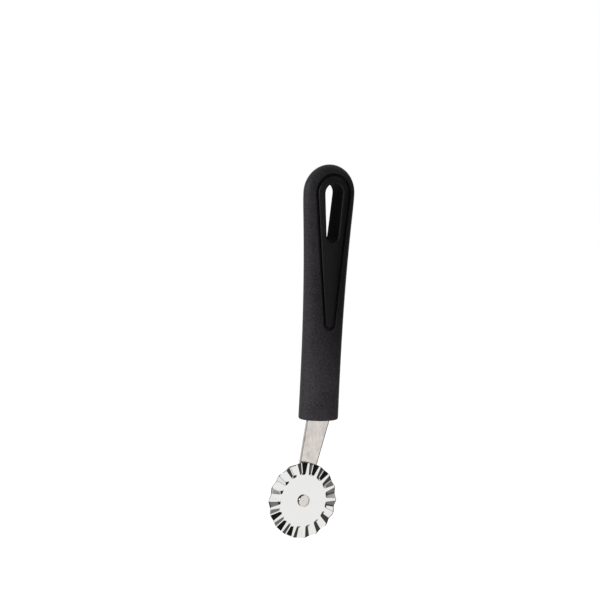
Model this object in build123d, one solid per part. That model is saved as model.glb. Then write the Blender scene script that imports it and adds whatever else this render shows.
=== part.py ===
from build123d import *
import math
import os

# A fluted pastry wheel that hangs from the eye of its handle. Sizes are in millimetres and degrees.
# The origin is the centre of the hanging slot's upper arc, halfway through the handle. +Z runs up the
# handle, +X is to the right of someone who faces the wheel, and the wheel is on the -Y side.

# Handle of elliptical section, a flat round paddle at the eye and nearly round at the neck end
HANDLE_DROP = 116.0  # from the eye's centre down to the neck end
EYE_WIDTH = 29.1
EYE_DEPTH = 13.5
NECK_END_WIDTH = 21.4
NECK_END_DEPTH = 17.4
WIDTH_TAPER = 2.6  # powers by which width and depth change along the handle
DEPTH_TAPER = 1.8
TAPER_EASE = 0.05  # share of the length in which the taper eases out of the round eye
HANDLE_STATIONS = 9
CROWN_SEAM = 60.0  # how far up the round of the eye the sections run, in degrees
CROWN_STATIONS = 6
NECK_RIM_RADIUS = 1.1

# Teardrop tongue of the core, the groove around it and the slot through it
EYE_BAND = 5.75  # between the outside of the eye and the tongue
TONGUE_TIP_RADIUS = 2.1
TONGUE_LENGTH = 66.1  # from the eye's centre to the centre of the tip
TONGUE_RECESS = 0.25  # below the grip's surface
TONGUE_EDGE_RADIUS = 0.5
GROOVE_WIDTH = 1.0
GROOVE_DEPTH = 1.4
TONGUE_RING = 3.6  # between the outside of the tongue and the slot
SLOT_TIP_RADIUS = 3.5
SLOT_LENGTH = 21.5
SLOT_RIM_RADIUS = 0.9

# Stem of the core, hidden inside the grip, which is moulded round the tang
STEM_WIDTH = 12.0
STEM_DEPTH = 8.6
STEM_CORNER = 2.0
STEM_TOP_DROP = 50.0
NECK_END_WALL = 3.0

# Steel strap: a straight tang in the handle and a leaning neck down to the axle
STRAP_THICKNESS = 1.5
NECK_LENGTH = 41.4  # from the neck end of the handle down to the axle
NECK_LEAN = 11.75  # in the plane of the strap, towards -X
NECK_TOP_WIDTH = 13.7
STRAP_END_RADIUS = 3.9
TANG_WIDTH = 8.5
TANG_LENGTH = 42.0
TANG_HOLE_RADIUS = 2.0
TANG_HOLE_COUNT = 2

# Fluted wheel, pressed from sheet
WHEEL_RADIUS = 19.5
SHEET_THICKNESS = 0.6
FLUTE_COUNT = 17
FLUTE_INNER_RADIUS = 13.5
FLUTE_RAMP = 0.5  # radial length of the sloping end wall of a flute
FLUTE_END_DEPTH = 0.62  # at the foot of that wall
FLUTE_DEPTH = 1.42  # at the rim
FLUTE_PHASE = 9.6  # turn of one flute from +X towards +Z at rest
FOLD_WIDTH = 0.7  # flat left along each valley
RIDGE_WIDTH = 1.2  # flat left along each ridge at the rim
FLUTE_TIP_WIDTH = 2.9  # blunt inner end of a flute

# Axle
SHOULDER_RADIUS = 2.0
TENON_RADIUS = 1.5
RIVET_HEAD_RADIUS = 3.1
RIVET_HEAD_THICKNESS = 0.9
RIVET_TAIL_RADIUS = 2.7
RIVET_TAIL_HEIGHT = 1.0
HEAD_EDGE_RADIUS = 0.25
SPACER_RADIUS = 3.6
BORE_CLEARANCE = 0.05  # radial, between the wheel or the spacer and the rivet's shoulder
TENON_CLEARANCE = 0.02
WHEEL_PLAY = 0.1  # end play on each side of the wheel
FLUTE_CLEARANCE = 1.08  # between the backs of the flutes and the strap

# Places and levels that follow from the sizes above. Levels count from the strap's middle to the front.
NECK_END_Z = -HANDLE_DROP
TONGUE_EYE_RADIUS = EYE_WIDTH / 2 - EYE_BAND
SLOT_EYE_RADIUS = TONGUE_EYE_RADIUS - TONGUE_RING
AXLE_X = -NECK_LENGTH * math.tan(math.radians(NECK_LEAN))
AXLE_Z = NECK_END_Z - NECK_LENGTH
STRAP_FRONT = STRAP_THICKNESS / 2
FLUTE_BACK = STRAP_FRONT + FLUTE_CLEARANCE
WHEEL_FRONT = FLUTE_BACK + FLUTE_DEPTH + SHEET_THICKNESS
WHEEL_BACK = WHEEL_FRONT - SHEET_THICKNESS
SPACER_FRONT = WHEEL_BACK - WHEEL_PLAY
HEAD_BACK = WHEEL_FRONT + WHEEL_PLAY
SHAFT_HOLE_RADIUS = SHOULDER_RADIUS + BORE_CLEARANCE
THROUGH = 2 * max(EYE_DEPTH, NECK_END_DEPTH)
THROUGH_SLOPE = 0.5  # an edge steeper than this in Y runs through a piece
# Frame of the axle: its Z points out of the front of the wheel, its X is the handle's X
AXLE = Plane(origin=(AXLE_X, 0, AXLE_Z), x_dir=(1, 0, 0), z_dir=(0, -1, 0))


def handle_section(share, inset):
    """Elliptical section of the handle at a share of the way from the neck end to the eye's centre."""
    fall = math.hypot(1 - share, TAPER_EASE) - TAPER_EASE
    whole_fall = math.hypot(1, TAPER_EASE) - TAPER_EASE
    width = NECK_END_WIDTH + (EYE_WIDTH - NECK_END_WIDTH) * (1 - fall / whole_fall) ** WIDTH_TAPER
    depth = EYE_DEPTH + (NECK_END_DEPTH - EYE_DEPTH) * (1 - share) ** DEPTH_TAPER
    level = Plane.XY.offset(NECK_END_Z * (1 - share))
    return level * Ellipse(width / 2 - inset, depth / 2 - inset)


def handle_body(inset=0):
    """Solid handle, or the same shape drawn in by inset all round, with a rounded cap over the eye."""
    half_width = EYE_WIDTH / 2 - inset
    half_depth = EYE_DEPTH / 2 - inset
    sections = [handle_section(i / HANDLE_STATIONS, inset) for i in range(HANDLE_STATIONS + 1)]
    for i in range(1, CROWN_STATIONS + 1):
        rise = math.radians(CROWN_SEAM * i / CROWN_STATIONS)
        level = Plane.XY.offset(half_width * math.sin(rise))
        sections.append(level * Ellipse(half_width * math.cos(rise), half_depth * math.cos(rise)))
    cap = split(Sphere(half_width), level, keep=Keep.TOP)
    return loft(sections) + scale(cap, (1, half_depth / half_width, 1))


def teardrop(eye_radius, tip_radius, length):
    """Prism through the handle: a round eye at the origin that narrows down to a round tip."""
    tilt = math.degrees(math.asin((eye_radius - tip_radius) / length))
    eye = CenterArc((0, 0), eye_radius, -tilt, 180 + 2 * tilt)
    tip = CenterArc((0, -length), tip_radius, 180 + tilt, 180 - 2 * tilt)
    outline = [eye, Line(eye @ 1, tip @ 0), tip, Line(tip @ 1, eye @ 0)]
    return extrude(Plane.XZ * make_face(outline), THROUGH / 2, both=True)


def tongue_prism(grow=0):
    return teardrop(TONGUE_EYE_RADIUS + grow, TONGUE_TIP_RADIUS + grow, TONGUE_LENGTH)


def slot_prism(grow=0):
    return teardrop(SLOT_EYE_RADIUS + grow, SLOT_TIP_RADIUS + grow, SLOT_LENGTH)


def face_edges(solid):
    """Edges that lie along the front and back faces of a piece, not through it."""
    return [edge for edge in solid.edges() if abs(edge.tangent_at(0.5).Y) < THROUGH_SLOPE]


def stem():
    bottom = Plane.XY.offset(NECK_END_Z + NECK_END_WALL)
    height = HANDLE_DROP - NECK_END_WALL - STEM_TOP_DROP
    return extrude(bottom * RectangleRounded(STEM_WIDTH, STEM_DEPTH, STEM_CORNER), height)


def neck_strap():
    """Strip with a straight tang up in the handle and a neck that narrows to the round axle end."""
    neck_top = [(-NECK_TOP_WIDTH / 2, NECK_END_Z), (NECK_TOP_WIDTH / 2, NECK_END_Z)]
    axle_end = Pos(AXLE_X, AXLE_Z) * Circle(STRAP_END_RADIUS)
    neck = make_hull(Line(*neck_top).edges() + axle_end.edges())
    tang = Pos(0, NECK_END_Z + TANG_LENGTH / 2) * Rectangle(TANG_WIDTH, TANG_LENGTH)
    outline = neck + tang - Pos(AXLE_X, AXLE_Z) * Circle(TENON_RADIUS + TENON_CLEARANCE)
    for i in range(TANG_HOLE_COUNT):
        rise = TANG_LENGTH * (i + 1) / (TANG_HOLE_COUNT + 1)
        outline -= Pos(0, NECK_END_Z + rise) * Circle(TANG_HOLE_RADIUS)
    return extrude(Plane.XZ * outline, STRAP_THICKNESS / 2, both=True)


def handle_core(strap):
    """Tongue with the hanging slot, and the stem moulded round the tang and through its holes."""
    tongue = tongue_prism() & handle_body(TONGUE_RECESS)
    inside = tongue_prism(-TONGUE_EDGE_RADIUS)
    outer_edges = [edge for edge in face_edges(tongue) if not inside.is_inside(edge @ 0.5)]
    tongue = fillet(outer_edges, TONGUE_EDGE_RADIUS) - slot_prism()
    around_slot = slot_prism(SLOT_RIM_RADIUS / 2)
    rims = [edge for edge in face_edges(tongue) if around_slot.is_inside(edge @ 0.5)]
    return fillet(rims, SLOT_RIM_RADIUS) + stem() - strap


def handle_grip(strap):
    """Outer moulding with its window for the core and a groove round the window, front and back."""
    body = handle_body()
    rim = body.edges().group_by(Axis.Z)[0]
    body = fillet(rim, NECK_RIM_RADIUS)
    groove = tongue_prism(GROOVE_WIDTH) - handle_body(GROOVE_DEPTH)
    return body - groove - tongue_prism() - stem() - strap


def flute_section(radius, depth):
    """Closed section of one pleat of the sheet, square to its radius, from ridge to ridge."""
    half_pitch = radius * math.tan(math.pi / FLUTE_COUNT)
    rim_ridge = WHEEL_RADIUS * math.tan(math.pi / FLUTE_COUNT) - RIDGE_WIDTH / 2
    spread = (rim_ridge - FLUTE_TIP_WIDTH / 2) / (WHEEL_RADIUS - FLUTE_INNER_RADIUS)
    ridge = FLUTE_TIP_WIDTH / 2 + spread * (radius - FLUTE_INNER_RADIUS)
    valley = FOLD_WIDTH / 2
    slope = math.atan2(depth, ridge - valley)
    turn = SHEET_THICKNESS * math.tan(slope / 2)
    low = WHEEL_FRONT - depth
    right = [
        (valley, low),
        (ridge, WHEEL_FRONT),
        (half_pitch, WHEEL_FRONT),
        (half_pitch, WHEEL_BACK),
        (ridge + turn, WHEEL_BACK),
        (valley + turn, low - SHEET_THICKNESS),
    ]
    left = [(-across, level) for across, level in reversed(right)]
    place = Plane(origin=(radius, 0, 0), x_dir=(0, 1, 0), z_dir=(1, 0, 0))
    return place * Polygon(*(right + left), align=None)


def fluted_wheel():
    pitch = 360 / FLUTE_COUNT
    inner_end = flute_section(FLUTE_INNER_RADIUS, 0)
    wall_foot = flute_section(FLUTE_INNER_RADIUS + FLUTE_RAMP, FLUTE_END_DEPTH)
    past_rim = flute_section(WHEEL_RADIUS + SHEET_THICKNESS, FLUTE_DEPTH)
    pleat = loft([inner_end, wall_foot, past_rim], ruled=True)
    reach = WHEEL_FRONT + FLUTE_DEPTH
    pleat &= extrude(Circle(WHEEL_RADIUS), reach)
    flat = RegularPolygon(FLUTE_INNER_RADIUS, FLUTE_COUNT, major_radius=False, rotation=pitch / 2)
    flat = Pos(0, 0, WHEEL_BACK) * extrude(flat, SHEET_THICKNESS)
    pleats = [Rot(0, 0, i * pitch) * pleat for i in range(FLUTE_COUNT)]
    wheel = flat.fuse(*pleats) - extrude(Circle(SHAFT_HOLE_RADIUS), reach)
    return AXLE * Rot(0, 0, FLUTE_PHASE) * wheel


def axle_rivet():
    head = Pos(0, 0, HEAD_BACK) * extrude(Circle(RIVET_HEAD_RADIUS), RIVET_HEAD_THICKNESS)
    head = fillet(head.edges().group_by(Axis.Z)[-1], HEAD_EDGE_RADIUS)
    shoulder = Pos(0, 0, STRAP_FRONT) * extrude(Circle(SHOULDER_RADIUS), HEAD_BACK - STRAP_FRONT)
    tenon = Pos(0, 0, -STRAP_FRONT) * extrude(Circle(TENON_RADIUS), STRAP_THICKNESS)
    tail_radius = (RIVET_TAIL_RADIUS**2 + RIVET_TAIL_HEIGHT**2) / (2 * RIVET_TAIL_HEIGHT)
    tail = Pos(0, 0, -STRAP_FRONT - RIVET_TAIL_HEIGHT + tail_radius) * Sphere(tail_radius)
    tail = split(tail, Plane.XY.offset(-STRAP_FRONT), keep=Keep.BOTTOM)
    return AXLE * (head + shoulder + tenon + tail)


def spacer_washer():
    ring = Circle(SPACER_RADIUS) - Circle(SHAFT_HOLE_RADIUS)
    return AXLE * Pos(0, 0, STRAP_FRONT) * extrude(ring, SPACER_FRONT - STRAP_FRONT)


def main():
    os.makedirs("parts", exist_ok=True)
    strap = neck_strap()
    nodes = {
        "handle_grip": handle_grip(strap),
        "handle_core": handle_core(strap),
        "neck_strap": strap,
        "axle_rivet": axle_rivet(),
        "spacer_washer": spacer_washer(),
        "fluted_wheel": fluted_wheel(),
    }
    for name, solid in nodes.items():
        export_step(solid, f"parts/{name}.step")


main()
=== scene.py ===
import math

import bmesh
import bpy
from mathutils import Matrix, Vector


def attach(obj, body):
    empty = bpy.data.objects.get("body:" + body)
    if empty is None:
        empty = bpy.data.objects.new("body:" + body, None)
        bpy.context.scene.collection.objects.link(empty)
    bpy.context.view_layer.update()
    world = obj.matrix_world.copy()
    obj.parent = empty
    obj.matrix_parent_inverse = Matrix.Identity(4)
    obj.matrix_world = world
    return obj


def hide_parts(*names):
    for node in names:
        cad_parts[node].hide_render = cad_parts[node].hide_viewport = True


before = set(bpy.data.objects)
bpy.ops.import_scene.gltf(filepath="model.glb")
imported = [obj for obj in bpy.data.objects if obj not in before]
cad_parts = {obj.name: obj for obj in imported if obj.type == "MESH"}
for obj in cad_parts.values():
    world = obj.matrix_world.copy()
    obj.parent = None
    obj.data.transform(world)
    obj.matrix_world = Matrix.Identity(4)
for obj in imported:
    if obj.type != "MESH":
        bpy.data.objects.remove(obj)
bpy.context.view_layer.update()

# Sizes in millimetres: the shapes are made in millimetres and scaled once. The main sizes are those of the solids.
# The groove and the inner ends of the flutes are drawn a little larger, to read as clearly as they do on the tool.
MM = 0.001

# Handle, with a round eye at the top and a taper down to the neck end
HANDLE_DROP = 116.0
EYE_HALF_WIDTH, EYE_HALF_DEPTH = 14.55, 6.75
NECK_HALF_WIDTH, NECK_HALF_DEPTH = 10.7, 8.7
WIDTH_TAPER, DEPTH_TAPER, TAPER_EASE = 2.6, 1.8, 0.05
NECK_RIM = 1.1

# Tongue and slot, each a teardrop given by its eye radius, tip radius and length, and the groove round the tongue
TONGUE = (8.8, 2.1, 66.1)
TONGUE_RECESS, TONGUE_EDGE = 0.25, 0.5
GROOVE_WIDTH, GROOVE_DEPTH, GROOVE_LIP, GROOVE_CORNER = 1.4, 1.8, 0.3, 0.1
WINDOW_CLEARANCE = 0.01
SLOT = (5.2, 3.5, 21.5)
SLOT_RIM = 0.9
EDGE_SUPPORT = 3  # a row lies this many radii below a rounded edge, so that the wall under it shades evenly

# Strip
STRAP_HALF = 0.75
STRAP_ROLL_WIDTH, STRAP_ROLL_DEPTH = 0.6, 0.36  # how far the sheared edges roll over
STRAP_FRAME, STRAP_BEVEL = 0.1, 0.08  # narrow frame that keeps the flats' shading even, and the edges' rounding
NECK_TOP_HALF, STRAP_END = 6.85, 3.9
TANG_HALF, TANG_LENGTH = 4.25, 42.0
NECK_RISE = 1.0  # how far the full width is drawn up inside the handle, so that no gap shows there

# Rivet and spacer: radii, and levels along the axle in front of the strip's middle
AXLE_X, AXLE_Z = -8.6112, -157.4
HEAD_RADIUS, HEAD_BACK, HEAD_FRONT, HEAD_ROUNDING = 3.1, 3.95, 4.85, 0.25
PIP_RADIUS, PIP_DEPTH = 0.25, 0.03  # small mark in the middle of the head
TAIL_RADIUS, TAIL_HEIGHT = 2.7, 1.0
SHOULDER, TENON = 2.0, 1.5
SPACER_RADIUS, SPACER_FRONT, SPACER_ROUNDING = 3.6, 3.15, 0.15

# Wheel
WHEEL_RADIUS, SHEET, BORE, WHEEL_FRONT = 19.5, 0.6, 2.05, 3.85
FLUTES, FLUTE_PHASE = 17, math.radians(9.6)
FLUTE_START, FLUTE_RAMP = 13.3, 0.9  # where the end wall of a flute starts, and how far out it runs
FLUTE_END_DEPTH, FLUTE_RIM_DEPTH = 0.65, 1.42
FLUTE_TIP, VALLEY, RIDGE = 1.45, 0.35, 0.6  # half widths of a flute's inner end and of its folds
FOOT_EASE, TOP_EASE, FOLD_EASE = 0.12, 0.1, 0.07  # how softly the end wall's foot and top and the folds turn
FLAT_RADII = [6.0, 10.0]  # rows of corners on the flat centre
BOW_START, BOW_IN, BOW_OUT = 12.4, 0.6, 4.0  # rows go from rings to straight lines here, and back to rings at the rim
WALL_INNER, WALL_OUTER = 13.0, 14.4  # close rows of corners between these radii draw the end walls
RIM_BAND, RIM_BEVEL = 0.2, 0.06

# Numbers of steps that the curves are drawn with
EYE_STEPS, TIP_STEPS, WINDOW_STEPS, SLOT_STEPS, TONGUE_STEPS, NECK_STEPS = 36, 16, 48, 16, 36, 40
AROUND_STEPS, FACE_STEPS, FLOOR_STEPS, END_STEPS = 28, 14, 4, 6
LIP_STEPS, EDGE_STEPS, SLOT_RIM_STEPS, NECK_RIM_STEPS = 5, 6, 8, 6
WALL_STEPS, FLUTE_STEPS, VALLEY_STEPS, FLANK_STEPS, RIDGE_STEPS = 14, 8, 3, 20, 6
STRAP_STEPS, DOME_STEPS, TURNED_STEPS, ROUNDING_STEPS, BEVEL_STEPS = 40, 10, 72, 5, 2

# Limits for picking corners, edges and faces: lengths in millimetres, angles in radians
MERGE_LENGTH, TINY_LENGTH = 0.002, 0.001
WALL_FACING, FLAT_FACING = 0.3, 0.95  # a wall faces the front by less than the first, a flat by more than the second
STRAP_FOLD, STRAP_SHORTEST, RIM_FOLD = 0.3, 0.2, 0.8


# Shapes


def span(start, stop, steps):
    """Even steps from start to stop, both ends included."""
    return [start + (stop - start) * i / steps for i in range(steps + 1)]


def lay_sheet(bm, rows, columns, place):
    """Adds a grid of quads, one unit wide, and puts each of its corners in its place for a row and a column."""
    grid = bmesh.ops.create_grid(bm, x_segments=len(columns) - 1, y_segments=len(rows) - 1, size=0.5)
    for vert in grid["verts"]:
        row = rows[round((vert.co.y + 0.5) * (len(rows) - 1))]
        column = columns[round((vert.co.x + 0.5) * (len(columns) - 1))]
        vert.co = place(row, column)


def everything(bm):
    return bm.verts[:] + bm.edges[:] + bm.faces[:]


def merge(bm):
    bmesh.ops.remove_doubles(bm, verts=bm.verts, dist=MERGE_LENGTH)
    bmesh.ops.dissolve_degenerate(bm, edges=bm.edges, dist=TINY_LENGTH)
    bmesh.ops.recalc_face_normals(bm, faces=bm.faces)


def four_quarters(bm):
    """Mirrors a quarter to the left and to the back."""
    for axis in "XY":
        bmesh.ops.mirror(bm, geom=everything(bm), merge_dist=MERGE_LENGTH, axis=axis)
    merge(bm)


def round_over(bm, geom, size, steps, affect):
    bmesh.ops.bevel(bm, geom=geom, offset=size, segments=steps, profile=0.5, affect=affect, material=-1)


def is_wall(face):
    return abs(face.normal.y) < WALL_FACING


def is_flat(face):
    return abs(face.normal.y) > FLAT_FACING


def finish_piece(name, bm, body, node, materials, sharp=40):
    """Makes a piece of a shape in millimetres and puts it on its body for the solid it shows.

    It is shaded smooth, apart from edges that fold by more than sharp degrees.
    """
    bmesh.ops.scale(bm, vec=(MM, MM, MM), verts=bm.verts)
    for face in bm.faces:
        face.smooth = True
    for edge in bm.edges:
        edge.smooth = not (edge.is_manifold and edge.calc_face_angle() > math.radians(sharp))
    mesh = bpy.data.meshes.new(name)
    bm.to_mesh(mesh)
    bm.free()
    for material in materials:
        mesh.materials.append(material)
    piece = bpy.data.objects.new(name, mesh)
    bpy.context.scene.collection.objects.link(piece)
    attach(piece, body)
    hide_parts(node)


def half_width(z, inset=0.0):
    """Half the handle's width at a height: round over the eye, then tapering down to the neck end."""
    if z > 0:
        return math.sqrt(max((EYE_HALF_WIDTH - inset) ** 2 - z * z, 0))
    fall = math.hypot(z / HANDLE_DROP, TAPER_EASE) - TAPER_EASE
    whole = math.hypot(1, TAPER_EASE) - TAPER_EASE
    taper = max(1 - fall / whole, 0) ** WIDTH_TAPER
    return NECK_HALF_WIDTH + (EYE_HALF_WIDTH - NECK_HALF_WIDTH) * taper - inset


def half_depth(z, inset=0.0):
    """Half the handle's depth at a height: domed over the eye, then growing down to the neck end."""
    if z > 0:
        return half_width(z, inset) * (EYE_HALF_DEPTH - inset) / (EYE_HALF_WIDTH - inset)
    return EYE_HALF_DEPTH + (NECK_HALF_DEPTH - EYE_HALF_DEPTH) * (-z / HANDLE_DROP) ** DEPTH_TAPER - inset


def on_handle(x, z, inset=0.0):
    """Point on the front of the handle, or under it by inset."""
    across = min(abs(x) / half_width(z, inset), 1)
    return Vector((x, -half_depth(z, inset) * math.sqrt(1 - across * across), z))


def teardrop_tilt(drop):
    eye, tip, length = drop
    return math.asin((eye - tip) / length)


def teardrop_point(drop, row, out=0.0):
    """Point of a teardrop's outline grown by out. A row is how far down the centre is and which way out lies."""
    eye, tip, length = drop
    down, turn = row
    radius = eye + (tip - eye) * down + out
    return radius * math.cos(turn), radius * math.sin(turn) - length * down


def round_tip(drop):
    return [(1, turn) for turn in span(-teardrop_tilt(drop), -math.pi / 2, TIP_STEPS)]


def teardrop_rows(drop, side_steps):
    """Rows down the right half of a teardrop: over the eye, along the side and round the tip."""
    tilt = teardrop_tilt(drop)
    eye = [(0, turn) for turn in span(math.pi / 2, 0, EYE_STEPS)]
    side = [(0, -tilt / 2)] + [(down, -tilt) for down in span(0, 1, side_steps)]
    return eye + side + round_tip(drop)[1:]


def on_teardrop(drop, row, column):
    """Point by a teardrop's outline: a column is how far out and how far under the skin, or None in mid depth."""
    out, inset = column
    x, z = teardrop_point(drop, row, out)
    return Vector((x, 0, z)) if inset is None else on_handle(x, z, inset)


def rolled_edge(radius, steps):
    """How far in and how deep a rounded edge lies, from the wall to the face."""
    turns = span(0, math.pi / 2, steps)
    return [(radius * (1 - math.cos(t)), radius * (1 - math.sin(t))) for t in turns]


def grip_shape():
    bm = bmesh.new()
    window = teardrop_rows(TONGUE, WINDOW_STEPS)

    # The window's wall, the floor and outer wall of the groove and its rounded lip
    profile = [(WINDOW_CLEARANCE, None), (WINDOW_CLEARANCE, GROOVE_DEPTH * 2)]
    profile += [(out, GROOVE_DEPTH) for out in span(WINDOW_CLEARANCE, GROOVE_WIDTH - GROOVE_CORNER, FLOOR_STEPS)]
    profile += [(GROOVE_WIDTH, GROOVE_DEPTH - GROOVE_CORNER), (GROOVE_WIDTH, GROOVE_LIP * 2)]
    profile += [(GROOVE_WIDTH + out, inset) for out, inset in rolled_edge(GROOVE_LIP, LIP_STEPS)]
    lay_sheet(bm, window, profile, lambda row, column: on_teardrop(TONGUE, row, column))

    # The land from the lip round to the side, in rays over the eye and level below it, and on to the neck end
    rim_z = NECK_RIM - HANDLE_DROP
    starts = [(teardrop_point(TONGUE, row, GROOVE_WIDTH + GROOVE_LIP), row[1]) for row in window]
    tip_z = starts[-1][0][1]
    starts += [((0, z), -1) for z in span(tip_z, rim_z, NECK_STEPS)[1:]]

    def land(start, share):
        (x, z), turn = start
        if turn >= 0:
            first = math.asin(math.hypot(x, z) / EYE_HALF_WIDTH)
            angle = first + (math.pi / 2 - first) * share
            reach = EYE_HALF_WIDTH * math.sin(angle)
            return Vector((reach * math.cos(turn), -EYE_HALF_DEPTH * math.cos(angle), reach * math.sin(turn)))
        width, depth = half_width(z), half_depth(z)
        first = math.asin(x / width)
        angle = first + (math.pi / 2 - first) * share
        return Vector((width * math.sin(angle), -depth * math.cos(angle), z))

    lay_sheet(bm, starts, span(0, 1, AROUND_STEPS), land)

    # The rounded rim of the neck end and its flat face
    rim = [(inset, rise - HANDLE_DROP, 1) for inset, rise in rolled_edge(NECK_RIM, NECK_RIM_STEPS)]
    rim += [(NECK_RIM, -HANDLE_DROP, size) for size in span(1, 0, END_STEPS)[1:]]

    def neck_end(row, share):
        inset, z, size = row
        angle = math.pi / 2 * share
        width, depth = half_width(rim_z) - inset, half_depth(rim_z) - inset
        return Vector((width * size * math.sin(angle), -depth * size * math.cos(angle), z))

    lay_sheet(bm, rim, span(0, 1, AROUND_STEPS), neck_end)
    four_quarters(bm)
    return bm


def core_shape():
    bm = bmesh.new()
    eye, tip, length = TONGUE
    tilt = teardrop_tilt(TONGUE)

    # The slot's wall and its rounded rim
    slot_rows = teardrop_rows(SLOT, SLOT_STEPS)
    profile = [(0, None), (0, TONGUE_RECESS + SLOT_RIM * EDGE_SUPPORT)]
    profile += [(out, TONGUE_RECESS + sink) for out, sink in rolled_edge(SLOT_RIM, SLOT_RIM_STEPS)]
    lay_sheet(bm, slot_rows, profile, lambda row, column: on_teardrop(SLOT, row, column))

    # The face from the slot's rim out to the tongue's edge, in rays over the eye and level below it
    def edge_row(z):
        drop = (z + (eye - TONGUE_EDGE) * math.sin(tilt)) / ((eye - tip) * math.sin(tilt) - length)
        return (drop, -tilt) if drop > 0 else (0, math.asin(z / (eye - TONGUE_EDGE)))

    rows = []
    for row in slot_rows:
        inner = teardrop_point(SLOT, row, SLOT_RIM)
        rows.append((inner, row if row[1] >= 0 else edge_row(inner[1])))
    last = rows[-1][1][0]
    below = [(down, -tilt) for down in span(last, 1, TONGUE_STEPS)[1:]] + round_tip(TONGUE)[1:]
    rows += [((0, teardrop_point(TONGUE, row, -TONGUE_EDGE)[1]), row) for row in below]

    # Columns are shares of the way across the face, then the rounded edge and the tongue's wall
    columns = span(0, 1, FACE_STEPS)
    columns += [(-inside, TONGUE_RECESS + sink) for inside, sink in rolled_edge(TONGUE_EDGE, EDGE_STEPS)[-2::-1]]
    columns += [(0, TONGUE_RECESS + TONGUE_EDGE * EDGE_SUPPORT), (0, TONGUE_RECESS + GROOVE_DEPTH * 2), (0, None)]

    def tongue(row, column):
        (x, z), outer = row
        if isinstance(column, tuple):
            return on_teardrop(TONGUE, outer, column)
        end_x, end_z = teardrop_point(TONGUE, outer, -TONGUE_EDGE)
        return on_handle(x + (end_x - x) * column, z + (end_z - z) * column, TONGUE_RECESS)

    lay_sheet(bm, rows, columns, tongue)
    four_quarters(bm)
    # Walls take the darker plastic, which paints the shade inside the slot
    for face in bm.faces:
        face.material_index = 1 if is_wall(face) else 0
    return bm


def strap_shape():
    """Flat strip: its round end is spun, the neck and the tang are drawn on from there, then it gets its thickness."""
    bm = bmesh.new()
    top_z = -HANDLE_DROP
    axle = Vector((AXLE_X, STRAP_HALF, AXLE_Z))

    def tangent(side):
        corner = Vector((side * NECK_TOP_HALF - AXLE_X, top_z - AXLE_Z))
        turn = math.atan2(corner.y, corner.x) - side * math.acos(STRAP_END / corner.length)
        return axle + STRAP_END * Vector((math.cos(turn), 0, math.sin(turn))), turn

    # Outline
    right, right_turn = tangent(1)
    left, left_turn = tangent(-1)
    start = bm.verts.new(right)
    sweep = (right_turn - left_turn) % (2 * math.pi)
    bmesh.ops.spin(bm, geom=[start], cent=axle, axis=(0, 1, 0), angle=sweep, steps=STRAP_STEPS)
    bm.verts.ensure_lookup_table()
    end = min((vert for vert in bm.verts if vert is not start), key=lambda vert: (vert.co - left).length)
    corners = ((NECK_TOP_HALF, 0), (NECK_TOP_HALF, NECK_RISE), (TANG_HALF, NECK_RISE), (TANG_HALF, TANG_LENGTH))
    for side, vert in ((1, start), (-1, end)):
        for x, rise in corners:
            grown = bmesh.ops.extrude_vert_indiv(bm, verts=[vert])["verts"][0]
            grown.co = Vector((side * x, STRAP_HALF, top_z + rise))
            vert = grown
    bmesh.ops.remove_doubles(bm, verts=bm.verts, dist=TINY_LENGTH)
    ends = [vert for vert in bm.verts if len(vert.link_edges) == 1]
    bm.edges.new(ends)
    bmesh.ops.edgeloop_fill(bm, edges=bm.edges)

    # Thickness, less the roll on both sides
    front = bmesh.ops.extrude_face_region(bm, geom=bm.faces[:])["geom"]
    moved = [part for part in front if isinstance(part, bmesh.types.BMVert)]
    bmesh.ops.translate(bm, vec=(0, -2 * STRAP_HALF + 2 * STRAP_ROLL_DEPTH, 0), verts=moved)
    bmesh.ops.translate(bm, vec=(0, -STRAP_ROLL_DEPTH, 0), verts=bm.verts)
    bmesh.ops.recalc_face_normals(bm, faces=bm.faces)

    # Rolled edges round the flats, with every edge that runs along them rounded a little
    flats = [face for face in bm.faces if is_flat(face)]
    bmesh.ops.inset_region(bm, faces=flats, thickness=STRAP_ROLL_WIDTH, depth=STRAP_ROLL_DEPTH, use_even_offset=True)
    flats = [face for face in bm.faces if is_flat(face)]
    bmesh.ops.inset_region(bm, faces=flats, thickness=STRAP_FRAME, use_even_offset=True)
    for face in bm.faces:
        face.material_index = 0 if is_flat(face) else 1
    rims = [edge for edge in bm.edges if edge.calc_face_angle(0) > STRAP_FOLD and edge.calc_length() > STRAP_SHORTEST]
    rims = [edge for edge in rims if abs(edge.verts[0].co.y - edge.verts[1].co.y) < TINY_LENGTH]
    round_over(bm, rims, STRAP_BEVEL, BEVEL_STEPS, "EDGES")
    return bm


def soft_min(a, b, ease):
    """The lesser of two values, with the turn from one to the other rounded over ease."""
    return min(a, b) - max(ease - abs(a - b), 0) ** 2 / (4 * ease)


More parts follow.
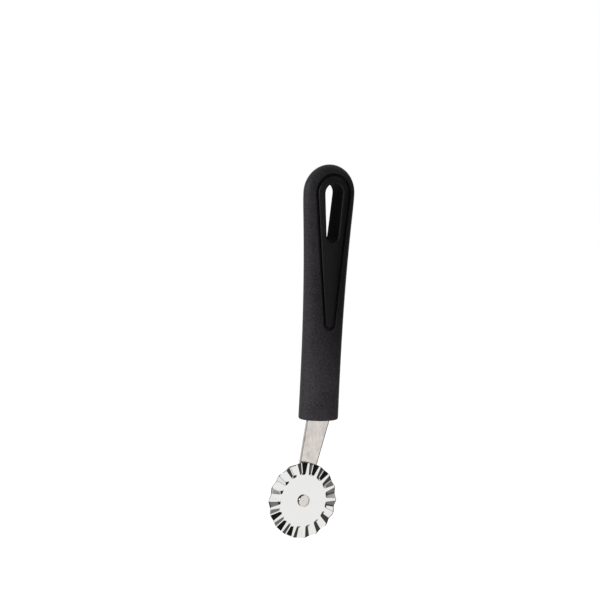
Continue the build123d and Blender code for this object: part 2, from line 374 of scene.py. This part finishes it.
def wheel_shape():
    """One pleat of the sheet, spun round the axle and given its thickness."""
    bm = bmesh.new()
    half = math.pi / FLUTES
    spread = (WHEEL_RADIUS * math.tan(half) - RIDGE - FLUTE_TIP) / (WHEEL_RADIUS - FLUTE_START)
    wall_foot = FLUTE_START + FLUTE_RAMP
    deepening = (FLUTE_RIM_DEPTH - FLUTE_END_DEPTH) / (WHEEL_RADIUS + SHEET - wall_foot)

    def pleat(along, column):
        # Columns keep to the folds, and rows run straight across the pleat where its end wall is
        side, band, share = column
        reach = max(along, FLUTE_START)
        ridge = FLUTE_TIP + spread * (reach - FLUTE_START)
        folds = [0, math.atan2(VALLEY, reach), math.atan2(ridge, reach), half]
        turn = folds[band] + (folds[band + 1] - folds[band]) * share
        bow = min(max(along - BOW_START, 0) / BOW_IN, 1, (WHEEL_RADIUS - along) / BOW_OUT)
        radius = along / math.cos(turn) ** bow
        level, across = radius * math.cos(turn), radius * math.sin(turn)
        wall = (level - FLUTE_START) / FLUTE_RAMP * FLUTE_END_DEPTH
        depth = soft_min(wall, FLUTE_END_DEPTH + deepening * (level - wall_foot), FOOT_EASE)
        depth = -soft_min(-depth, 0, TOP_EASE)
        edge = FLUTE_TIP + spread * max(level - FLUTE_START, 0)
        flank = (edge - across) / (edge - VALLEY) * depth
        sink = -soft_min(-soft_min(flank, depth, FOLD_EASE), 0, FOLD_EASE)
        angle = FLUTE_PHASE + side * turn
        return Vector((AXLE_X + radius * math.cos(angle), sink - WHEEL_FRONT, AXLE_Z + radius * math.sin(angle)))

    radii = [BORE, *FLAT_RADII, BOW_START]
    radii += span(WALL_INNER, WALL_OUTER, WALL_STEPS) + span(WALL_OUTER, WHEEL_RADIUS, FLUTE_STEPS)[1:]
    columns = [(1, 0, 0.0)]
    for band, steps in enumerate((VALLEY_STEPS, FLANK_STEPS, RIDGE_STEPS)):
        columns += [(1, band, share) for share in span(0, 1, steps)[1:]]
    columns = [(-1, band, share) for side, band, share in columns[:0:-1]] + columns
    lay_sheet(bm, radii, columns, pleat)
    middle = Vector((AXLE_X, 0, AXLE_Z))
    turn = 2 * math.pi * (FLUTES - 1) / FLUTES
    bmesh.ops.spin(
        bm, geom=everything(bm), cent=middle, axis=(0, 1, 0), angle=turn, steps=FLUTES - 1, use_duplicate=True
    )
    merge(bm)
    if sum(face.normal.y for face in bm.faces) > 0:
        bmesh.ops.reverse_faces(bm, faces=bm.faces)
    bmesh.ops.solidify(bm, geom=bm.faces[:], thickness=SHEET)

    # The trimmed rim, with its own finish: rough, and coloured dark as painted shade along the edge
    def at_rim(edge):
        reaches = [(Vector((vert.co.x, 0, vert.co.z)) - middle).length for vert in edge.verts]
        return min(reaches) > WHEEL_RADIUS - RIM_BAND and edge.calc_face_angle(0) > RIM_FOLD

    rims = [edge for edge in bm.edges if at_rim(edge)]
    for face in {face for edge in rims for face in edge.link_faces if is_wall(face)}:
        face.material_index = 1
    round_over(bm, rims, RIM_BEVEL, BEVEL_STEPS, "EDGES")
    return bm


def turned_shape(profile, roundings):
    """Profile of radius and level along the axle, with some corners rounded, spun round the axle."""
    bm = bmesh.new()
    verts = [bm.verts.new((radius, -level, 0)) for radius, level in profile]
    for pair in zip(verts, verts[1:]):
        bm.edges.new(pair)
    for index, size in roundings:
        round_over(bm, [verts[index]], size, ROUNDING_STEPS, "VERTICES")
    bmesh.ops.spin(
        bm, geom=everything(bm), cent=(0, 0, 0), axis=(0, 1, 0), angle=2 * math.pi, steps=TURNED_STEPS, use_merge=True
    )
    merge(bm)
    bmesh.ops.translate(bm, vec=(AXLE_X, 0, AXLE_Z), verts=bm.verts)
    return bm


def rivet_shape():
    dome = (TAIL_RADIUS**2 + TAIL_HEIGHT**2) / (2 * TAIL_HEIGHT)
    turns = span(math.asin(TAIL_RADIUS / dome), 0, DOME_STEPS)
    tail = [(dome * math.sin(t), -STRAP_HALF - TAIL_HEIGHT + dome * (1 - math.cos(t))) for t in turns]
    head = [(0, HEAD_FRONT - PIP_DEPTH), (PIP_RADIUS, HEAD_FRONT), (HEAD_RADIUS, HEAD_FRONT), (HEAD_RADIUS, HEAD_BACK)]
    shank = [(SHOULDER, HEAD_BACK), (SHOULDER, STRAP_HALF), (TENON, STRAP_HALF), (TENON, -STRAP_HALF)]
    bm = turned_shape(head + shank + tail, [(2, HEAD_ROUNDING)])
    # Walls take the dark steel, painted shade on the head's side; faces behind the strip take the spacer's steel
    for face in bm.faces:
        face.material_index = 1 if is_wall(face) else 0
        if face.calc_center_median().y > STRAP_HALF:
            face.material_index = 2
    return bm


def spacer_shape():
    ring = [(BORE, STRAP_HALF), (BORE, SPACER_FRONT), (SPACER_RADIUS, SPACER_FRONT), (SPACER_RADIUS, STRAP_HALF)]
    return turned_shape(ring + ring[:1], [(2, SPACER_ROUNDING), (3, SPACER_ROUNDING)])


# Finishes, with scales in steps per metre and bump depths in metres

MIX_FACTOR, MIX_LOW, MIX_HIGH, MIX_COLOUR = 0, 6, 7, 2  # places of a mix node's colour sockets
NOISE_LOW, NOISE_HIGH = 0.3, 0.7  # noise seldom leaves this range
PEBBLE_HEIGHT, SPECKLE_SHARE, PATCH_SHARE = 0.7, 0.75, 0.25
ROLLED_SCALE = (4000.0, 4000.0, 120.0)  # fine across the strip and long along it
RING_SHARE, SMEAR_SHARE = 0.5, 0.5


def put(tree, kind, settings=None, values=None, links=None):
    """Adds a node, sets it up, gives its inputs their values and links the rest."""
    node = tree.nodes.new(kind)
    for key, value in (settings or {}).items():
        setattr(node, key, value)
    for key, value in (values or {}).items():
        node.inputs[key].default_value = value
    for key, source in (links or {}).items():
        tree.links.new(source, node.inputs[key])
    return node


def math_node(tree, operation, *operands, clamp=False):
    """Sum, product or the like of its operands, each a number or the output of a node."""
    node = put(tree, "ShaderNodeMath", {"operation": operation, "use_clamp": clamp})
    for socket, operand in zip(node.inputs, operands):
        if isinstance(operand, (int, float)):
            socket.default_value = operand
        else:
            tree.links.new(operand, socket)
    return node.outputs[0]


def new_group(name, inputs, outputs):
    """Node group that takes a place and some numbers, and gives values that vary over the piece."""
    tree = bpy.data.node_groups.new(name, "ShaderNodeTree")
    tree.interface.new_socket("Place", in_out="INPUT", socket_type="NodeSocketVector")
    for label, value in inputs.items():
        tree.interface.new_socket(label, in_out="INPUT", socket_type="NodeSocketFloat").default_value = value
    for label in outputs:
        tree.interface.new_socket(label, in_out="OUTPUT", socket_type="NodeSocketFloat")
    return tree, tree.nodes.new("NodeGroupInput").outputs, tree.nodes.new("NodeGroupOutput").inputs


def moulded_grain():
    """Fine pebbled skin of a moulding tool, with broad soft patches where it released differently."""
    tree, given, result = new_group(
        "moulded_grain", {"Grain": 2600.0, "Patch": 90.0}, ["Height", "Tone", "Polish"]
    )
    fine = {"Vector": given["Place"], "Scale": given["Grain"]}
    broad = {"Vector": given["Place"], "Scale": given["Patch"]}
    pebbles = put(tree, "ShaderNodeTexVoronoi", {"feature": "SMOOTH_F1"}, {"Smoothness": 0.6}, fine).outputs["Distance"]
    dust = put(tree, "ShaderNodeTexNoise", None, {"Detail": 4.0, "Roughness": 0.6}, fine).outputs["Fac"]
    patches = put(tree, "ShaderNodeTexNoise", None, {"Detail": 3.0, "Roughness": 0.5}, broad).outputs["Fac"]
    height = math_node(tree, "ADD", math_node(tree, "MULTIPLY", pebbles, PEBBLE_HEIGHT), dust)
    speckle = math_node(tree, "MULTIPLY", dust, SPECKLE_SHARE)
    tone = math_node(tree, "ADD", speckle, math_node(tree, "MULTIPLY", patches, PATCH_SHARE))
    tree.links.new(height, result["Height"])
    tree.links.new(tone, result["Tone"])
    tree.links.new(patches, result["Polish"])
    return tree


def rolled_grain():
    """Long fine lines of rolled sheet, with cloudy patches of duller and brighter metal."""
    tree, given, result = new_group("rolled_grain", {"Fineness": 1.0}, ["Lines", "Clouds"])
    long = put(tree, "ShaderNodeVectorMath", {"operation": "MULTIPLY"}, {1: ROLLED_SCALE}, {0: given["Place"]})
    lines = put(
        tree, "ShaderNodeTexNoise", None, {"Detail": 3.0, "Roughness": 0.65},
        {"Vector": long.outputs[0], "Scale": given["Fineness"]},
    )
    clouds = put(
        tree, "ShaderNodeTexNoise", None, {"Scale": 260.0, "Detail": 4.0, "Roughness": 0.6}, {"Vector": given["Place"]}
    )
    tree.links.new(lines.outputs["Fac"], result["Lines"])
    tree.links.new(clouds.outputs["Fac"], result["Clouds"])
    return tree


def turned_rings():
    """Fine rings about the axle, as a lathe or a polishing mop leaves them, with smears across them."""
    tree, given, result = new_group("turned_rings", {"Pitch": 6000.0, "Smear": 150.0}, ["Rings", "Smears"])
    flat = put(tree, "ShaderNodeVectorMath", {"operation": "MULTIPLY"}, {1: (1.0, 0.0, 1.0)}, {0: given["Place"]})
    radius = put(tree, "ShaderNodeVectorMath", {"operation": "LENGTH"}, None, {0: flat.outputs[0]})
    turns = math_node(tree, "MULTIPLY", radius.outputs["Value"], given["Pitch"])
    rings = put(
        tree, "ShaderNodeTexNoise", {"noise_dimensions": "1D"}, {"Scale": 1.0, "Detail": 3.0}, {"W": turns}
    )
    smears = put(
        tree, "ShaderNodeTexNoise", None, {"Detail": 4.0, "Roughness": 0.55},
        {"Vector": given["Place"], "Scale": given["Smear"]},
    )
    tree.links.new(rings.outputs["Fac"], result["Rings"])
    tree.links.new(smears.outputs["Fac"], result["Smears"])
    return tree


def new_finish(name, values):
    """Material with a Principled shader whose plain values are set on it, and what is needed to link the rest."""
    material = bpy.data.materials.new(name)
    material.use_nodes = True
    tree = material.node_tree
    shader = tree.nodes["Principled BSDF"]
    for key, value in values.items():
        shader.inputs[key].default_value = value
    return material, tree, shader.inputs, tree.nodes.new("ShaderNodeTexCoord").outputs["Object"]


def colour_between(tree, factor, low, high):
    """Mix of two colours, each given as a colour or as the output of a node."""
    node = put(tree, "ShaderNodeMix", {"data_type": "RGBA"}, None, {MIX_FACTOR: factor})
    for index, colour in ((MIX_LOW, low), (MIX_HIGH, high)):
        if isinstance(colour, tuple):
            node.inputs[index].default_value = (*colour, 1)
        else:
            tree.links.new(colour, node.inputs[index])
    return node.outputs[MIX_COLOUR]


def value_between(tree, factor, low, high):
    limits = {"From Min": NOISE_LOW, "From Max": NOISE_HIGH, "To Min": low, "To Max": high}
    return put(tree, "ShaderNodeMapRange", None, limits, {"Value": factor}).outputs["Result"]


def bump(tree, shader, height, depth, strength):
    node = put(tree, "ShaderNodeBump", None, {"Strength": strength, "Distance": depth}, {"Height": height})
    tree.links.new(node.outputs["Normal"], shader["Normal"])


def plastic(name, grain, low, high, rough, depth, gloss):
    material, tree, shader, place = new_finish(name, {"Specular IOR Level": gloss, "IOR": 1.5})
    skin = put(tree, "ShaderNodeGroup", {"node_tree": GRAIN}, {"Grain": grain}, {"Place": place})
    tone = value_between(tree, skin.outputs["Tone"], 0, 1)
    tree.links.new(colour_between(tree, tone, low, high), shader["Base Color"])
    tree.links.new(value_between(tree, skin.outputs["Polish"], *rough), shader["Roughness"])
    bump(tree, shader, skin.outputs["Height"], depth, strength=0.5)
    return material


def sheet_steel(name, low, high, rough):
    """Rolled sheet whose lines run along the leaning strip."""
    lean = math.atan2(-AXLE_X, -HANDLE_DROP - AXLE_Z)
    material, tree, shader, place = new_finish(name, {"Metallic": 1.0})
    turned = put(tree, "ShaderNodeMapping", None, {"Rotation": (0, lean, 0)}, {"Vector": place})
    rolled = put(tree, "ShaderNodeGroup", {"node_tree": ROLLED}, None, {"Place": turned.outputs[0]})
    both = math_node(tree, "MULTIPLY", rolled.outputs["Lines"], rolled.outputs["Clouds"])
    tone = put(tree, "ShaderNodeMapRange", None, {"From Min": 0.12, "From Max": 0.4}, {"Value": both})
    tree.links.new(colour_between(tree, tone.outputs["Result"], low, high), shader["Base Color"])
    tree.links.new(value_between(tree, rolled.outputs["Clouds"], *rough), shader["Roughness"])
    bump(tree, shader, rolled.outputs["Lines"], depth=0.00001, strength=0.4)
    return material


def turned_steel(name, low, high, rough, pitch=9000.0, depth=0.00001, strength=0.4):
    """Steel worked about the axle."""
    material, tree, shader, place = new_finish(name, {"Metallic": 1.0})
    to_axle = {"Location": (-AXLE_X * MM, 0, -AXLE_Z * MM)}
    centred = put(tree, "ShaderNodeMapping", None, to_axle, {"Vector": place})
    worked = put(tree, "ShaderNodeGroup", {"node_tree": RINGS}, {"Pitch": pitch}, {"Place": centred.outputs[0]})
    tree.links.new(colour_between(tree, worked.outputs["Smears"], low, high), shader["Base Color"])
    smeared = math_node(tree, "MULTIPLY", worked.outputs["Smears"], SMEAR_SHARE)
    both = math_node(tree, "MULTIPLY_ADD", worked.outputs["Rings"], RING_SHARE, smeared)
    tree.links.new(value_between(tree, both, *rough), shader["Roughness"])
    bump(tree, shader, worked.outputs["Rings"], depth, strength)
    return material


GRAIN, ROLLED, RINGS = moulded_grain(), rolled_grain(), turned_rings()
grip_skin = plastic(
    "grip_plastic", grain=1300.0, low=(0.006, 0.0054, 0.006), high=(0.038, 0.0345, 0.0385),
    rough=(0.5, 0.62), depth=0.00009, gloss=0.14,
)
core_skin = plastic(
    "core_plastic", grain=1800.0, low=(0.006, 0.0054, 0.006), high=(0.021, 0.019, 0.0212),
    rough=(0.42, 0.52), depth=0.00005, gloss=0.14,
)
# The tongue's own plastic, made darker and duller for its walls: painted shade in the slot
core_wall_painted_shade = plastic(
    "core_wall_painted_shade", grain=1800.0, low=(0.003, 0.0027, 0.003), high=(0.01, 0.009, 0.0101),
    rough=(0.6, 0.7), depth=0.00005, gloss=0.012,
)
strap_face = sheet_steel("satin_steel", low=(0.54, 0.5, 0.472), high=(0.84, 0.785, 0.75), rough=(0.12, 0.2))
strap_edge = sheet_steel("sheared_edge", low=(0.4, 0.38, 0.36), high=(0.6, 0.57, 0.55), rough=(0.5, 0.65))
rivet_steel = turned_steel(
    "rivet_steel", low=(0.64, 0.605, 0.575), high=(0.8, 0.76, 0.725), rough=(0.12, 0.2), depth=0.000006, strength=0.3
)
# Dark steel for the rivet's walls, the head's side among them: painted shade
rivet_side_painted_shade = turned_steel("rivet_side_painted_shade", low=(0.1, 0.1, 0.09), high=(0.2, 0.19, 0.18), rough=(0.35, 0.5))
spacer_steel = turned_steel("spacer_steel", low=(0.48, 0.47, 0.45), high=(0.62, 0.61, 0.6), rough=(0.28, 0.4))
wheel_steel = turned_steel(
    "polished_steel", low=(0.8, 0.8, 0.79), high=(0.84, 0.84, 0.83), rough=(0.03, 0.07),
    pitch=5000.0, depth=0.000002, strength=0.1,
)
# Rough trimmed edge of the sheet; its dark colour is painted shade
wheel_edge_and_painted_shade = turned_steel("trimmed_edge_painted_shade", low=(0.2, 0.2, 0.19), high=(0.34, 0.33, 0.32), rough=(0.3, 0.45))


# Pieces, each with its body, the solid it shows and its finishes, and where given the fold in degrees above which its
# edges are drawn sharp

finish_piece("grip_moulding", grip_shape(), "handle", "handle_grip", [grip_skin], 60)
finish_piece("core_tongue", core_shape(), "handle", "handle_core", [core_skin, core_wall_painted_shade], 60)
finish_piece("neck_strip", strap_shape(), "handle", "neck_strap", [strap_face, strap_edge], 25)
rivet_finishes = [rivet_steel, rivet_side_painted_shade, spacer_steel]
finish_piece("rivet_turned", rivet_shape(), "handle", "axle_rivet", rivet_finishes)
finish_piece("spacer_ring", spacer_shape(), "handle", "spacer_washer", [spacer_steel])
finish_piece("pastry_wheel", wheel_shape(), "wheel", "fluted_wheel", [wheel_steel, wheel_edge_and_painted_shade], 60)


# Studio, in metres: a pale floor well below the hanging tool, soft lamps and a white surround with dark zones, which
# only the polished metal mirrors

FLOOR_LEVEL, FLOOR_HALF = -0.27, 6
FLOOR_LOW, FLOOR_HIGH, FLOOR_GLOW = (0.93, 0.93, 0.93), (0.95, 0.95, 0.95), (0.82, 0.82, 0.82)
NO_LIGHT, WHITE, BLACK = (0, 0, 0), (1.0, 1.0, 1.0), (0.01, 0.01, 0.01)
BROWN, LIGHT_BROWN, DIM = (0.06, 0.052, 0.046), (0.22, 0.2, 0.185), (0.25, 0.25, 0.25)
AMBIENT, SPOT_SIZE = 0.28, 0.02

# Zones of the surround, in degrees: azimuth, elevation, how far the full zone reaches and where its fade ends. The
# stand zones are small ones, as a lamp stand at the right would make.
BEHIND_ZONES = [(180, 0, 62, 70)]
BLACK_ZONES = [(-16, 25, 28, 46), (-72, 28, 28, 36), (21, 58.5, 19.5, 23)]
BROWN_ZONES = [(92, -22, 48, 56)]
STAND_ZONES = [(47, 12, 8, 16), (46, 29, 2, 8)]
LIGHT_BROWN_ZONES = [(55, -62, 20, 36)]
AMBIENT_ZONES = [(-60, 20, 20, 120)]


def studio_floor():
    bm = bmesh.new()
    bmesh.ops.create_grid(bm, x_segments=1, y_segments=1, size=FLOOR_HALF)
    bmesh.ops.translate(bm, vec=(0, 0, FLOOR_LEVEL), verts=bm.verts)
    mesh = bpy.data.meshes.new("studio_floor")
    bm.to_mesh(mesh)
    bm.free()
    plain = {"Roughness": 0.9, "Specular IOR Level": 0.1, "Emission Strength": 1.0}
    material, tree, shader, place = new_finish("pale_floor", plain)
    grain = put(tree, "ShaderNodeTexNoise", None, {"Scale": 40.0, "Detail": 3.0}, {"Vector": place})
    tree.links.new(colour_between(tree, grain.outputs["Fac"], FLOOR_LOW, FLOOR_HIGH), shader["Base Color"])
    seen = tree.nodes.new("ShaderNodeLightPath").outputs["Is Camera Ray"]
    tree.links.new(colour_between(tree, seen, NO_LIGHT, FLOOR_GLOW), shader["Emission Color"])
    mesh.materials.append(material)
    floor = bpy.data.objects.new("studio_floor", mesh)
    floor.visible_glossy = False
    bpy.context.scene.collection.objects.link(floor)


def place_lamp(name, data, place, aim, mirrored):
    lamp = bpy.data.objects.new(name, data)
    lamp.location = place
    lamp.rotation_euler = (Vector(aim) - Vector(place)).to_track_quat("-Z", "Y").to_euler()
    lamp.visible_glossy = mirrored
    bpy.context.scene.collection.objects.link(lamp)


def soft_lamp(name, place, aim, size, power):
    data = bpy.data.lights.new(name, "AREA")
    data.shape = "SQUARE"
    data.size = size
    data.energy = power
    place_lamp(name, data, place, aim, mirrored=True)


def soft_spot(name, place, aim, cone, power):
    data = bpy.data.lights.new(name, "SPOT")
    data.spot_size = math.radians(cone)
    data.spot_blend = 1.0
    data.shadow_soft_size = SPOT_SIZE
    data.energy = power
    place_lamp(name, data, place, aim, mirrored=False)


def toward(azimuth, elevation):
    """Direction from the tool: azimuth to the right of its front, elevation up, in degrees."""
    turn, rise = math.radians(azimuth), math.radians(elevation)
    return (math.sin(turn) * math.cos(rise), -math.cos(turn) * math.cos(rise), math.sin(rise))


def in_zones(tree, direction, zones):
    """1 inside any of the zones, falling to 0 outside them."""
    fades = []
    for azimuth, elevation, inner, outer in zones:
        centre = {1: toward(azimuth, elevation)}
        near = put(tree, "ShaderNodeVectorMath", {"operation": "DOT_PRODUCT"}, centre, {0: direction})
        limits = {"From Min": math.cos(math.radians(outer)), "From Max": math.cos(math.radians(inner))}
        smooth = {"interpolation_type": "SMOOTHSTEP"}
        fade = put(tree, "ShaderNodeMapRange", smooth, limits, {"Value": near.outputs["Value"]})
        fades.append(fade.outputs["Result"])
    most = fades[0]
    for fade in fades[1:]:
        most = math_node(tree, "MAXIMUM", most, fade)
    return most


def studio_world():
    """White to the camera, dark zones to what mirrors, and a dim light that is strongest from the left."""
    world = bpy.data.worlds.new("studio")
    bpy.context.scene.world = world
    world.use_nodes = True
    tree = world.node_tree
    tree.nodes.clear()
    direction = tree.nodes.new("ShaderNodeTexCoord").outputs["Generated"]

    def background(colour, strength):
        return put(tree, "ShaderNodeBackground", None, {"Strength": strength}, {"Color": colour}).outputs[0]

    def either(ray, no, yes):
        return put(tree, "ShaderNodeMixShader", None, None, {0: ray, 1: no, 2: yes}).outputs[0]

    # What polished metal mirrors: black and brown zones in front and at the sides, nothing dark behind
    behind = in_zones(tree, direction, BEHIND_ZONES)
    black = math_node(tree, "SUBTRACT", in_zones(tree, direction, BLACK_ZONES), behind, clamp=True)
    brown = math_node(tree, "SUBTRACT", in_zones(tree, direction, BROWN_ZONES), behind, clamp=True)
    brown = math_node(tree, "MAXIMUM", brown, in_zones(tree, direction, STAND_ZONES))
    surround = colour_between(tree, black, WHITE, BLACK)
    side = colour_between(tree, in_zones(tree, direction, LIGHT_BROWN_ZONES), BROWN, LIGHT_BROWN)
    mirrored = background(colour_between(tree, brown, surround, side), 1.0)

    # What lights dull surfaces, and what the camera sees
    ambient = background(colour_between(tree, in_zones(tree, direction, AMBIENT_ZONES), DIM, WHITE), AMBIENT)
    white = put(tree, "ShaderNodeBackground", None, {"Color": (*WHITE, 1), "Strength": 1.0}).outputs[0]
    rays = tree.nodes.new("ShaderNodeLightPath").outputs
    lit = either(rays["Is Glossy Ray"], ambient, mirrored)
    seen = either(rays["Is Camera Ray"], lit, white)
    put(tree, "ShaderNodeOutputWorld", None, None, {"Surface": seen})


def photo_camera():
    """Camera that sees the aim point at its pixel in a square picture of 600 pixels, from its distance."""
    azimuth, elevation, roll = -29.93, 5.138, math.radians(2.702)
    aim, distance = Vector((0, 0, -0.082)), 1.126
    seen_x, seen_y = 321.285, 353.126
    focal, middle = 2200.0, 300.0
    back = Vector(toward(azimuth, elevation))
    right = Vector((math.cos(math.radians(azimuth)), math.sin(math.radians(azimuth)), 0))
    up = back.cross(right)
    right, up = math.cos(roll) * right + math.sin(roll) * up, math.cos(roll) * up - math.sin(roll) * right
    place = aim + distance * (back - right * (seen_x - middle) / focal + up * (seen_y - middle) / focal)
    data = bpy.data.cameras.new("photo_camera")
    data.sensor_width = 36
    data.lens = data.sensor_width * focal / (2 * middle)
    camera = bpy.data.objects.new("photo_camera", data)
    camera.matrix_world = Matrix.Translation(place) @ Matrix((right, up, back)).transposed().to_4x4()
    bpy.context.scene.collection.objects.link(camera)
    bpy.context.scene.camera = camera


studio_floor()
studio_world()
soft_lamp("key_lamp", place=(-1.147, -0.08, 0.3), aim=(0, 0, -0.09), size=0.45, power=12)
soft_spot("low_spot", place=(0.05, -0.9, -0.2), aim=(0, 0, -0.128), cone=8, power=30)
photo_camera()
bpy.context.scene.view_settings.view_transform = "Standard"
